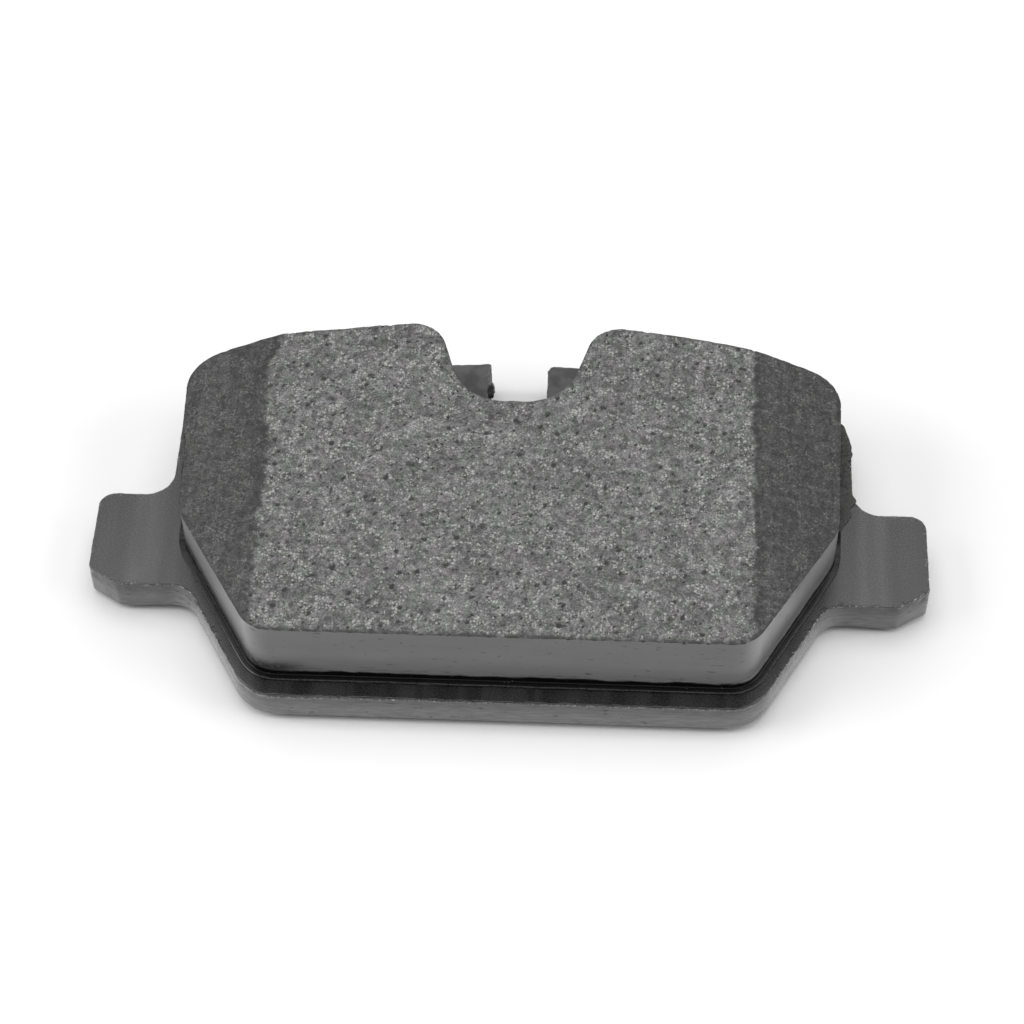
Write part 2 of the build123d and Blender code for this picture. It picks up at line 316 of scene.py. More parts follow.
class Finish:
    """A material made of nodes. Patterns read Object coordinates, which are metres on the pad."""

    def __init__(self, name, **values):
        self.material = bpy.data.materials.new(name)
        self.material.use_nodes = True
        self.tree = self.material.node_tree
        self.tree.nodes.clear()
        self.shader = self.tree.nodes.new("ShaderNodeBsdfPrincipled")
        output = self.tree.nodes.new("ShaderNodeOutputMaterial")
        self.tree.links.new(self.shader.outputs[0], output.inputs[0])
        self.place = self.tree.nodes.new("ShaderNodeTexCoord").outputs["Object"]
        for socket, value in values.items():
            self.shader.inputs[socket.replace("_", " ")].default_value = value

    def put(self, socket, value):
        """A colour, number or another node's output into a socket."""
        if isinstance(value, bpy.types.NodeSocket):
            self.tree.links.new(value, socket)
        elif socket.type == "RGBA":
            socket.default_value = (*tuple(value)[:3], 1)
        else:
            socket.default_value = value

    def node(self, kind, *values, **settings):
        """A node with its first inputs filled in order. A setting in capitals names an input."""
        made = self.tree.nodes.new("ShaderNode" + kind)
        for name, value in settings.items():
            if name[0].isupper():
                self.put(made.inputs[name], value)
            else:
                setattr(made, name, value)
        for socket, value in zip([s for s in made.inputs if s.enabled], values):
            if value is not None:
                self.put(socket, value)
        return made

    def warped(self, size, amount):
        """Object coordinates, pushed about by noise of that size."""
        noisy = self.node("TexNoise", self.place, Scale=1 / size)
        push = self.node("VectorMath", noisy.outputs[1], (0.5, 0.5, 0.5), operation="SUBTRACT")
        push = self.node("VectorMath", push.outputs[0], operation="SCALE", Scale=amount)
        return self.node("VectorMath", self.place, push.outputs[0], operation="ADD").outputs[0]

    def cloud(self, size, detail=2.0, roughness=0.5, place=None, x=1, y=1, z=1):
        """Cloudy noise with features of about that size in metres, drawn out along the axes."""
        place = place or self.place
        if (x, y, z) != (1, 1, 1):
            place = self.node("Mapping", place, None, None, (1 / x, 1 / y, 1 / z)).outputs[0]
        sizes = {"Scale": 1 / size, "Detail": detail, "Roughness": roughness}
        return self.node("TexNoise", place, **sizes).outputs[0]

    def grains(self, size, place=None):
        """Distance from scattered grain centres, and one random number for each grain."""
        made = self.node("TexVoronoi", place or self.place, Scale=1 / size)
        return made.outputs[0], self.node("SeparateColor", made.outputs[1]).outputs[0]

    def mark(self, name):
        """The piece's own mark of that name."""
        return self.node("Attribute", attribute_name=name).outputs["Fac"]

    def band(self, value, low, high, start=0.0, end=1.0):
        """Start below low, end above high, and smooth between them."""
        made = self.node("MapRange", value, low, high, start, end, clamp=True)
        made.interpolation_type = "SMOOTHSTEP"
        return made.outputs[0]

    def sums(self, operation, a, b=0.5, clamp=False):
        """One sum on two numbers."""
        return self.node("Math", a, b, operation=operation, use_clamp=clamp).outputs[0]

    def product(self, first, *others):
        """Numbers multiplied together."""
        for other in others:
            first = self.sums("MULTIPLY", first, other)
        return first

    def between(self, value, out_low, in_low, in_high, out_high):
        """0 outside the outer two levels, 1 between the inner two, and smooth on the way."""
        return self.product(self.band(value, out_low, in_low), self.band(value, out_high, in_high))

    def blend(self, share, a, b, how="MIX"):
        """Colour a with colour b over it by that share."""
        made = self.node("Mix", data_type="RGBA", blend_type=how)
        for socket, value in zip((made.inputs[0], made.inputs[6], made.inputs[7]), (share, a, b)):
            self.put(socket, value)
        return made.outputs[2]

    def laid(self, under, over, *shares):
        """One colour with another over it, as much as the product of the shares says."""
        return self.blend(self.product(*shares), under, over)

    def varied(self, share, colour, low, high):
        """A setting's colour, low times it where the share is 0 and high times it where it is 1."""
        return self.blend(share, scaled(colour, low), scaled(colour, high))

    def grey(self, share, low, high):
        """A grey that goes from low to high with the share."""
        return self.blend(share, (low,) * 3, (high,) * 3)

    def toned(self, colour, share, low, high):
        """A colour multiplied by a grey that goes from low to high with the share."""
        return self.blend(1.0, colour, self.grey(share, low, high), "MULTIPLY")

    def axis(self, name):
        """The X, Y or Z of the Object coordinates."""
        return self.node("SeparateXYZ", self.place).outputs[name]

    def relief(self, *layers):
        """Bump layers, each a height pattern and its depth in metres, one on another."""
        normal = None
        for height, depth in layers:
            under = {"Normal": normal} if normal else {}
            made = self.node("Bump", Strength=1.0, Distance=depth, Height=height, **under)
            normal = made.outputs[0]
        self.put(self.shader.inputs["Normal"], normal)

    def colour(self, value):
        self.put(self.shader.inputs["Base Color"], value)

    def gloss(self, value):
        self.put(self.shader.inputs["Roughness"], value)


def shade(name, default, description):
    """A colour setting, in linear light."""
    kind = {"default": default, "subtype": "COLOR", "min": 0, "max": 1}
    return FloatVectorProperty(name=name, description=description, **kind)


def length(name, default, description):
    """A length setting, in metres, from its default in millimetres."""
    kind = {"default": default * MM, "subtype": "DISTANCE", "unit": "LENGTH", "precision": 5}
    return FloatProperty(name=name, description=description, min=0, **kind)


# ---- friction block
class PadFriction(bpy.types.PropertyGroup):
    """Shape and colours of the friction block."""

    edge_radius: length("Edge radius", 0.16, "Rounding of the wearing face's edge")
    pore_depth: length("Pore depth", 0.22, "How deep the open pores go")
    grain_size: length("Grain size", 0.52, "Distance from one pale grain to the next")
    chips: IntProperty(name="Chips", description="Chips along the edge", default=34, min=0)
    binder: shade("Binder", (0.118, 0.118, 0.116), "Grey of the ground resin and fibres")
    grain: shade("Pale grain", (0.4, 0.4, 0.39), "Colour of the mineral grains")
    # colour of the dark grains, stains and specks, and of the painted shade inside the open pores
    dark_and_pore_shade: shade("Pore", (0.016, 0.016, 0.0155), "Colour inside the pores")
    slope: shade("Sloping end", (0.049, 0.0487, 0.048), "Grey of the two sloping ends")
    wall: shade("Moulded wall", (0.132, 0.132, 0.134), "Grey of the smooth moulded walls")
    smear: shade("Smear", (0.004, 0.004, 0.004), "Black that runs up the foot of the walls")
    foot: length("Foot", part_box("friction_block")[0].z / MM, "Height at which the walls start")


def friction_finish(look):
    """Ground friction material: pale and dark grains, open pores with painted shade in them, finer
    and darker ends, and painted light on the walls.
    """
    made = Finish("friction_material", IOR=1.45)
    size = look.grain_size
    top = made.mark("top")
    along, height = made.axis("X"), made.axis("Z")
    grit = made.cloud(0.26 * MM, 2.0, 0.6)
    mottle = made.cloud(1.0 * MM, 3.0, 0.6)
    fine, coarse = made.band(grit, 0.3, 0.7), made.band(mottle, 0.35, 0.65)
    # resin and fibres: a fine grit over a coarser mottle, with a trace of green and of violet
    body = made.toned(made.varied(fine, look.binder, 0.5, 1.4), coarse, 0.66, 1.26)
    tint = made.band(made.cloud(1.7 * MM, 2.0), 0.35, 0.65)
    tint = made.blend(tint, (0.95, 1.0, 0.965), (1.03, 0.985, 1.03))
    body = made.blend(1.0, body, tint, "MULTIPLY")
    blotch = made.band(made.cloud(5.5 * MM, 2.0, 0.55), 0.34, 0.66)
    body = made.toned(body, blotch, 0.85, 1.14)
    # pale grains of two sizes, crowded together in some places and missing in others
    crowd = made.band(made.cloud(2.2 * MM, 3.0, 0.6), 0.36, 0.64, -0.42, 0.42)
    bent = made.warped(0.5 * MM, 0.35 * MM)
    pale = []
    for width, rarity in ((size, 0.6), (size * 0.68, 0.56)):
        near, lot = made.grains(width, bent)
        shown = made.band(made.sums("ADD", lot, crowd), rarity, rarity + 0.5)
        pale.append(made.product(made.band(near, 0.58, 0.1), shown))
        body = made.laid(body, look.grain, pale[-1], 0.8)
    # dark grains
    soot = made.cloud(size * 1.6, 2.0, 0.7, made.warped(0.9 * MM, 0.5 * MM))
    dark = made.band(made.sums("ADD", soot, made.product(mottle, 0.3)), 0.54, 0.42)
    body = made.laid(body, look.dark_and_pore_shade, dark, 0.7)
    # the sloping ends are ground across, so they are finer and streaked
    end = made.toned(made.varied(fine, look.slope, 0.45, 1.5), coarse, 0.7, 1.25)
    bars = made.band(made.cloud(4.5 * MM, 1.0, y=8), 0.36, 0.64)
    streak = made.band(made.cloud(1.4 * MM, 3.0, x=0.6, y=9), 0.35, 0.65)
    end = made.toned(made.toned(end, bars, 0.9, 1.1), streak, 0.82, 1.12)
    end = made.blend(1.0, end, tint, "MULTIPLY")
    end = made.laid(end, look.grain, pale[0], 0.16)
    end = made.laid(end, look.grain, pale[1], 0.22)
    end = made.laid(end, look.dark_and_pore_shade, dark, 0.6)
    face = made.blend(made.mark("slope"), body, end)
    # soot along the border of the slope, and along the edge
    patchy, uneven = made.band(mottle, 0.3, 0.62, 0.9, 0.15), made.band(mottle, 0.4, 0.7, 1.0, 0.5)
    face = made.laid(face, scaled(look.dark_and_pore_shade, 1.3), made.mark("verge"), patchy)
    face = made.laid(face, scaled(look.dark_and_pore_shade, 2), made.mark("brink"), uneven)
    # painted shade in the open pores, with a ragged rim, and stains
    ragged = made.sums("ADD", made.mark("pit"), made.product(made.cloud(0.25 * MM, 3.0), 0.5))
    hole = made.band(ragged, 0.42, 0.75)
    face = made.laid(face, look.dark_and_pore_shade, hole, 0.9)
    smudge = made.sums("ADD", made.mark("stain"), made.product(made.cloud(0.5 * MM, 3.0), 0.7))
    face = made.blend(made.band(smudge, 0.5, 1.05, 0.0, 0.7), face, look.dark_and_pore_shade)
    # moulded walls: painted light makes them paler towards the foot, or towards the top where they
    # slant to the ears
    drag = made.band(made.cloud(1.6 * MM, x=5, y=5), 0.3, 0.7)
    side = made.varied(drag, look.wall, 0.96, 1.04)
    painted_wall_light = made.grey(made.band(height, look.foot + 7 * MM, look.foot), 1.0, 1.45)
    rise = made.band(height, look.foot + 0.3 * MM, look.foot + 6 * MM)
    slanted = made.band(made.sums("ABSOLUTE", along), 33.5 * MM, 37 * MM)
    painted_wall_light = made.blend(slanted, painted_wall_light, made.grey(rise, 0.95, 1.65))
    side = made.blend(1.0, side, painted_wall_light, "MULTIPLY")
    specks = made.band(made.cloud(0.55 * MM, 3.0, x=3, y=3), 0.64, 0.72)
    side = made.laid(side, look.dark_and_pore_shade, specks, 0.6)
    # black from the underlayer: smoky at the left corner, and smeared along the foot
    corner = made.band(along, -26 * MM, -32 * MM, 0.0, 0.9)
    low = made.band(height, look.foot + 2.6 * MM, look.foot)
    side = made.laid(side, look.smear, corner, low, made.band(mottle, 0.3, 0.6, 0.35, 1.0))
    smear = made.product(made.cloud(1.3 * MM, 4.0, x=3, y=3), 1.2 * MM)
    over = made.sums("SUBTRACT", height, smear)
    side = made.blend(made.band(over, look.foot - 0.4 * MM, look.foot - 0.9 * MM), side, look.smear)
    made.colour(made.blend(top, side, face))
    made.gloss(made.band(top, 0.0, 1.0, 0.28, 0.66))
    depth = made.band(top, 0.2, 0.9)
    made.relief(
        (made.product(grit, depth), 0.025 * MM),
        (made.product(made.sums("SUBTRACT", mottle, hole), depth), 0.04 * MM),
        (made.cloud(0.8 * MM, 2.0), 0.003 * MM),
    )
    return made.material


def friction_patch(ring, columns, rows):
    """The block's face as a patch between four stretches of its outline.

    The stretches meet where the outline turns through the flanks' two ends. With F and R the front
    and the rear stretch, and A and B the left and the right, a point is
    (1-v) F(u) + v R(u) + (1-u) A(v) + u B(v), less the same blend of the four corners.
    """
    away = outward(ring)
    right = ring[:, 0] > 0.8 * ring[:, 0].max()
    left = ring[:, 0] < 0.8 * ring[:, 0].min()
    turn = np.degrees(np.arctan2(away[:, 1], np.abs(away[:, 0])))
    pick = lambda side, angle: int(np.argmin(np.where(side, np.abs(turn - angle), 999)))
    ends = [pick(left, -15), pick(right, -15), pick(right, 44), pick(left, 44)]

    def stretch(first, last, at, lean):
        count = (last - first) % len(ring)
        line = ring[(first + np.arange(count + 1)) % len(ring)]
        along = np.append(0, (np.abs(np.diff(line, axis=0)) @ (1.0, lean)).cumsum())
        return np.column_stack([np.interp(at * along[-1], along, line[:, i]) for i in (0, 1)])

    near = np.array([0, 0.06, 0.15, 0.28, 0.46]) * MM
    u = np.concatenate([near / 0.095, np.linspace(0.0078, 0.9922, columns), 1 - near[::-1] / 0.095])
    v = np.concatenate([near / 0.05, np.linspace(0.0145, 0.9855, rows), 1 - near[::-1] / 0.05])
    front = stretch(ends[0], ends[1], u, 0.25)
    side_b = stretch(ends[1], ends[2], v, 1.0)
    rear = stretch(ends[2], ends[3], 1 - u, 0.25)
    side_a = stretch(ends[3], ends[0], 1 - v, 1.0)
    u, v = u[None, :, None], v[:, None, None]
    corners = [(1 - u) * line[0] + u * line[-1] for line in (front, rear)]
    lines = (1 - v) * (front - corners[0]) + v * (rear - corners[1])
    return lines + (1 - u) * side_a[:, None] + u * side_b[:, None]


def nearest(points, ring):
    """Number of the ring's point nearest to each point, and how far away it is."""
    number, away = np.empty(len(points), int), np.empty(len(points))
    block = 256
    for first in range(0, len(points), block):
        part = slice(first, first + block)
        squares = ((points[part, None] - ring[None]) ** 2).sum(axis=-1)
        number[part], away[part] = squares.argmin(axis=1), np.sqrt(squares.min(axis=1))
    return number, away


class PAD_OT_friction_block(bpy.types.Operator):
    """Builds the friction block, with its ground face, pores, chipped edge and moulded walls"""

    bl_idname = "brake_pad.friction_block"
    bl_label = "Friction block"

    def execute(self, context):
        look = context.scene.pad_friction
        low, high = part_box("friction_block")
        step = 0.1 * MM
        ring = block_outline(step)
        points, _ = corners_and_faces("friction_block")
        # where the wearing face starts to slope, and how steeply, from the CAD's own corners
        crest = np.abs(points[points[:, 2] > high.z - 1e-6, 0]).max()
        foot = points[(points[:, 2] > low.z + MM) & (np.abs(points[:, 0]) > crest + MM)]
        fall = ((high.z - foot[:, 2]) / (np.abs(foot[:, 0]) - crest)).mean()

        plan = friction_patch(ring, 326, 168)
        x, y = plan[..., 0], plan[..., 1]
        inset = nearest(plan.reshape(-1, 2), ring)[1].reshape(x.shape)
        lean = 1.3 * MM * hump(y, 6 * MM, 10 * MM, 20 * MM, 24 * MM)
        beyond = np.abs(x) - crest - np.where(x < 0, lean, 0)
        run = 1.2 * MM
        eased = np.where(beyond > run, beyond, np.clip(beyond + run, 0, None) ** 2 / (4 * run))
        jagged = beyond + 0.45 * MM * rough(x, y, 1.8 * MM, 27, 3)
        slope = bump_up(jagged, -0.5 * MM - lean * (x < 0), 0.4 * MM + 0.5 * lean * (x < 0))
        verge = hump(jagged, -0.5 * MM, 0.2 * MM, 0.5 * MM, 1.7 * MM)
        z = high.z - fall * eased
        # open pores, thinner on the sloping ends, and a slight unevenness of the grinding
        east = x + 0.07 * MM * rough(x, y, 0.6 * MM, 14, 2)
        north = y + 0.07 * MM * rough(x, y, 0.6 * MM, 17, 2)
        pit = np.maximum(
            spots(east, north, 2.5 * MM, 0.52, 0.07, 0.24, 11),
            spots(east, north, 1.3 * MM, 0.42, 0.11, 0.27, 12),
        )
        stain = bump_up(spots(east, north, 6.5 * MM, 0.55, 0.05, 0.12, 13), 0, 0.8)
        pit *= 1 - 0.55 * slope
        z -= look.pore_depth * bump_up(pit, 0, 0.7)
        z -= 0.012 * MM * (1 + rough(x, y, 1.4 * MM, 21, 3))
        z -= 0.01 * MM * slope * (1 + noise(x, y / 12, 0.5 * MM, 24))
        # the edge: a small radius, ragged where grains have come away
        ragged = look.edge_radius * (1.1 + 0.7 * rough(x, y, 1.1 * MM, 31, 3))
        lip = np.clip(ragged - inset, 0, None)
        z -= ragged - np.sqrt(np.clip(ragged**2 - lip**2, 0, None))
        face = np.dstack([x, y, z])

        shell = Shell()
        draw = np.random.default_rng(5)
        at = draw.integers(0, len(ring), look.chips)
        size = draw.uniform(0.18, 0.6, look.chips) ** 1.5 * 1.6 * MM
        sound = (ring[at, 0] < -40 * MM) & (ring[at, 1] > 0)
        size = np.where(sound, 0.05 * MM, size)
        away = outward(ring)
        level = high.z - fall * np.clip(np.abs(ring[at, 0]) - crest, 0, None)
        centres = np.column_stack([ring[at] + away[at] * size[:, None] * 0.45, level + size * 0.5])
        face = bitten(face, centres, size)
        face[..., 2] = np.minimum(face[..., 2], high.z)
        brink = 1 - bump_up(inset + 0.12 * MM * rough(x, y, 0.9 * MM, 35, 2), 0.2 * MM, 0.75 * MM)
        brink *= 0.35 + 0.65 * bump_up(-y, 21 * MM, 25 * MM)
        top = shell.add(face, top=1.0, slope=slope, verge=verge, pit=pit, stain=stain, brink=brink)
        shell.skin(top, closed=False)

        # walls: straight down from the face's own edge, with a faint swell of the mould
        edge = np.concatenate([top[0], top[1:, -1], top[-1, -2::-1], top[-2:0:-1, 0]])
        rim = face.reshape(-1, 3)[edge]
        down = np.concatenate([[0, 0.004, 0.012], np.linspace(0.03, 0.96, 17), [0.985, 0.995, 1]])
        levels = rim[:, 2] + (low.z - rim[:, 2]) * down[1:, None]
        near, _ = nearest(rim[:, :2], ring)
        along = near * step
        swell = 0.03 * MM * rough(along, levels, 6 * MM, 41, 2) - 0.02 * MM
        swell *= bump_up(high.z - levels, 0, 1.5 * MM)
        walls = np.dstack([
            ring[near, 0] + swell * away[near, 0],
            ring[near, 1] + swell * away[near, 1],
            levels,
        ])
        walls = bitten(walls, centres, size)
        count = 26
        nicks = draw.integers(0, len(ring), count)
        nick_size = draw.uniform(0.12, 0.42, count) * MM
        nick_level = draw.uniform(low.z, low.z + 3.5 * MM, count)
        nick_at = ring[nicks] + away[nicks] * nick_size[:, None] * 0.7
        walls = bitten(walls, np.column_stack([nick_at, nick_level]), nick_size)
        sides = shell.add(walls, top=0.0)
        shell.skin(np.vstack([edge, sides])[::-1])
        shell.cap(sides[-1], up=False)
        shell.piece("friction_block", friction_finish(look), "friction_material")
        return {"FINISHED"}


# ---- underlayer
class PadUnderlayer(bpy.types.PropertyGroup):
    """Shape and colour of the black underlayer."""

    foot_thickness: length("Foot thickness", 0.3, "Thickness of the foot at its outer edge")
    blend: length("Blend radius", 0.12, "Hollow between the wall and the foot")
    flash: length("Flash", 1.7, "How far the moulding has crept over the plate at one flank")
    black: shade("Black", (0.003, 0.003, 0.0031), "Colour of the moulded black")
    # also the grey of the painted glint on the foot at the left front corner
    wall: shade("Wall", (0.2, 0.2, 0.203), "Grey that runs down from the friction block")
    dust: shade("Dust", (0.075, 0.075, 0.072), "Colour of the crumbly part that crept out")


def underlayer_finish(look):
    """Black moulding, glossy where the mould pressed it and dusty where it crept out."""
    made = Finish("underlayer", IOR=1.33)
    rim, dusty, along = made.mark("rim"), made.mark("dust"), made.axis("X")
    dust = made.cloud(0.35 * MM, 4.0, 0.7)
    near, lot = made.grains(0.55 * MM)
    crumbs = made.product(made.band(near, 0.22, 0.08), made.band(lot, 0.86, 0.9))
    body = made.varied(made.band(dust, 0.4, 0.75), look.black, 1, 2.4)
    # painted highlight: a grey line along the foot's outer edge
    body = made.laid(body, (0.085,) * 3, rim, made.band(dust, 0.32, 0.56))
    # painted glint: the block's grey on the foot's edge at the left front corner
    painted_glint = made.between(along, -40 * MM, -38.5 * MM, -35.6 * MM, -34.6 * MM)
    body = made.laid(body, look.wall, painted_glint, rim)
    body = made.laid(body, look.dust, dusty, made.band(dust, 0.35, 0.62, 0.35, 1.0))
    body = made.laid(body, (0.12,) * 3, crumbs, 0.4)
    # the friction block's grey runs down over the seam, least at the left, as pale as the painted
    # light at the foot of the walls
    runs = made.product(made.cloud(1.1 * MM, 4.0, x=3, y=3), 1.3 * MM)
    seam = made.sums("ADD", made.axis("Z"), runs)
    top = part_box("underlayer")[1].z
    seam = made.band(seam, top - 0.1 * MM, top + 0.5 * MM)
    clean = made.band(along, -32 * MM, -26 * MM, 0.25, 1.0)
    made.colour(made.laid(body, look.wall, seam, clean))
    gloss = made.band(rim, 0.0, 1.0, 0.2, 0.4)
    made.gloss(made.sums("ADD", gloss, made.product(dusty, 0.35), clamp=True))
    made.relief(
        (made.cloud(0.5 * MM, 3.0), 0.01 * MM),
        (made.product(dusty, dust), 0.12 * MM),
        (crumbs, 0.05 * MM),
    )
    return made.material


class PAD_OT_underlayer(bpy.types.Operator):
    """Builds the black underlayer, with its hollow foot, flash and the plugs under it"""

    bl_idname = "brake_pad.underlayer"
    bl_label = "Underlayer"

    def execute(self, context):
        look = context.scene.pad_underlayer
        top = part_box("friction_block")[0].z
        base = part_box("bonding_film")[1].z
        step = 0.2 * MM
        ring = block_outline(step)
        film = rims("bonding_film", base)[0]
        foot = float(np.abs(film[:, 1]).max() - np.abs(ring[:, 1]).max())
        x, y = ring.T
        along = np.arange(len(ring)) * step
        plate_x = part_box("shim_steel")[1].x
        flank = bump_up(x, plate_x - 4 * MM, plate_x - 1.5 * MM)
        crept = flank * hump(y, 0, 4 * MM, 17 * MM, 24 * MM)
        width = foot * (0.95 + 0.05 * rough(along, 0, 3 * MM, 51, 3))
        crumbly = 0.64 + 0.24 * rough(along, 0, 2.6 * MM, 54, 2)
        crumbly += 0.1 * rough(along, 0, 0.8 * MM, 56, 2)
        lump = 0.6 * np.exp(-(((y - 6.0 * MM) / (1.5 * MM)) ** 2))
        width = width + look.flash * crept * (crumbly + lump)
        # profile: out along the bottom, up the foot's edge, in over the hollow, up the wall
        edge = look.foot_thickness * (1 + (0.07 + 0.25 * crept) * rough(along, 0, 1.7 * MM, 57, 3))
        edge *= 1 - 0.6 * flank * hump(y, -2 * MM, 1 * MM, 5 * MM, 9 * MM)
        radius = np.minimum(look.blend, top - base - edge)
        hollow, climb = (radius * share for share in quarter_turn(9))
        curl = np.minimum(0.1 * MM, 0.6 * edge)
        tuck, bulge = quarter_turn(5)
        out = np.vstack([
            width * np.ones((2, 1)) - np.array([[0.06 * MM], [0]]),
            width - curl * bulge,
            np.minimum(width - curl * 1.3, hollow + 0 * width),
            np.zeros((3, len(ring))),
        ])
        up = np.vstack([
            base + np.array([[0], [0.06 * MM]]) + 0 * width,
            base + edge - curl * tuck,
            base + edge + climb,
            base + edge + radius + (top - base - edge - radius) * np.array([[0.3], [0.7], [1.0]]),
        ])
        wander = 0.012 * MM * rough(along[None], up, 2.5 * MM, 60, 2)
        out[2:-3] += wander[2:-3]
        shell = Shell()
        rim = bump_up(out / width, 0.9, 1.0)
        dust = crept * bump_up(out, 0.3 * foot, foot)
        numbers = shell.add(swept(ring, out, up), rim=rim, dust=dust)
        shell.skin(numbers)
        shell.cap(numbers[-1], up=True)
        # plugs that fill the plate's holes, and bosses in its dimples
        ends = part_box("underlayer")[0].z
        holes = rims("backing_plate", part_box("backing_plate")[1].z)[1:]
        mouths = []
        for hole in holes:
            well = evenly(hole, HOLE_STEP)
            wide = np.ptp(well[:, 0]) > PIP_LIMIT
            bottom = ends if wide else base - 0.6 * MM
            plug = shell.tube(well[::-1], [base, base - 0.1 * MM, bottom + 0.2 * MM, bottom])
            shell.cap(plug[-1], up=False)
            mouths.append(plug[0])
        shell.cap(numbers[0], *mouths, up=False)
        # a drop of the moulding that has stuck to the side of the slot
        turn = np.arange(28) * TURN / 28
        tilt = np.linspace(-1, 1, 15)[1:-1, None] * math.pi / 2
        swell = 1 + 0.22 * rough(np.cos(turn) * 2 + tilt, np.sin(turn) * 2, 1.0, 63, 3)
        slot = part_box("backing_plate")[1].y
        drop = np.dstack([
            -4.05 * MM + 0.55 * MM * swell * np.cos(tilt) * np.cos(turn),
            slot - 5.2 * MM + 1.45 * MM * swell * np.cos(tilt) * np.sin(turn),
            base - 0.5 * MM + 0.75 * MM * swell * np.sin(tilt),
        ])
        grid = shell.add(drop, rim=0.5, dust=0.0)
        shell.skin(grid)
        shell.cap(grid[0], up=False)
        shell.cap(grid[-1], up=True)
        shell.piece("underlayer", underlayer_finish(look), "underlayer", 50)
        return {"FINISHED"}


# ---- backing plate
class PadPlate(bpy.types.PropertyGroup):
    """Shape and colours of the backing plate."""

    die_roll: length("Die roll", 0.95, "Rounding that the press leaves on the plate's back")
    burr: length("Ragged edge", 0.13, "How rough the broken edge of the top is")
    coat: shade("Coat", (0.0065, 0.0065, 0.0066), "Colour of the satin black powder coat")
    # grey of the painted sheen on the ears, and the grey of the paler tabs
    sheen_painted: shade("Rubbed", (0.03, 0.03, 0.0305), "Grey of the rubbed ears and the dusty tabs")
    sheared: shade("Sheared side", (0.12, 0.12, 0.121), "Grey of the thinly coated sheared sides")
    # also laid on as the painted glint on the edge at the left front corner
    worn: shade("Worn edge", (0.34, 0.335, 0.33), "Colour where the coat has come off")


def plate_finish(look):
    """Satin powder coat over sheared steel: fine grain, streaked sides, a worn upper edge, painted
    sheen on the ears and slanting sides, and a painted glint.
    """
    made = Finish("coated_plate", IOR=1.6)
    side, edge, dull = made.mark("side"), made.mark("edge"), made.mark("dull")
    along = made.axis("X")
    across = made.sums("ABSOLUTE", along)
    grain = made.cloud(0.22 * MM, 3.0, 0.6)
    # painted reflection: soft bands drawn out along Y make the whole coat paler and darker by turns
    patch = made.cloud(3 * MM, y=9)
    body = made.varied(made.band(patch, 0.38, 0.62), look.coat, 0.5, 2.6)
    body = made.blend(made.band(grain, 0.38, 0.66, 0.0, 0.4), body, scaled(look.coat, 4))
    # painted sheen: the ears are paler, most of all across their middle; the tabs beside the slot
    # are paler and duller
    middle = made.between(across, 50.4 * MM, 52 * MM, 54.8 * MM, 56.4 * MM)
    sheen_painted = made.varied(middle, look.sheen_painted, 1, 1.9)
    sheen_painted = made.toned(sheen_painted, made.band(grain, 0.3, 0.7), 0.75, 1.25)
    ears = made.band(across, 47 * MM, 49.5 * MM)
    body = made.laid(body, sheen_painted, ears, made.band(patch, 0.36, 0.64, 0.65, 1.0))
    dusty = made.varied(made.band(made.cloud(2.5 * MM, 2.0), 0.36, 0.64), look.sheen_painted, 1.7, 3)
    body = made.laid(body, dusty, dull, 0.9)
    # the sheared sides: darker towards the top, and painted light where they slant to the ears
    streak = made.cloud(0.45 * MM, 4.0, 0.65, x=7, y=7)
    torn = made.varied(made.band(streak, 0.36, 0.64), look.sheared, 0.8, 1.2)
    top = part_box("backing_plate")[1].z
    torn = made.toned(torn, made.band(made.axis("Z"), top - 3.6 * MM, top - 0.3 * MM), 1.12, 0.54)
    slanted = made.between(across, 37 * MM, 40 * MM, 47.5 * MM, 50 * MM)
    torn = made.toned(torn, slanted, 1, 1.4)
    pits = made.band(made.cloud(0.5 * MM, 3.0, x=3.5, y=3.5), 0.66, 0.72)
    body = made.blend(side, body, made.laid(torn, look.coat, pits, 0.8))
    # bare metal where the coat has flaked off the edge, and a painted glint on the edge at the left
    # front corner
    flake = made.cloud(0.45 * MM, 5.0, 0.7)
    painted_glint = made.between(along, -40.5 * MM, -39 * MM, -36.4 * MM, -35.2 * MM)
    flaked = made.sums("MAXIMUM", made.band(flake, 0.5, 0.61), made.product(painted_glint, 0.8))
    made.colour(made.laid(body, look.worn, edge, flaked))
    sheen = made.blend(side, made.band(grain, 0.3, 0.7, 0.22, 0.32), (0.16,) * 3)
    made.gloss(made.sums("ADD", sheen, made.product(dull, 0.5), clamp=True))
    made.relief(
        (grain, 0.006 * MM),
        (made.product(side, made.sums("SUBTRACT", streak, pits)), 0.05 * MM),
        (made.product(edge, flake), 0.1 * MM),
    )
    return made.material


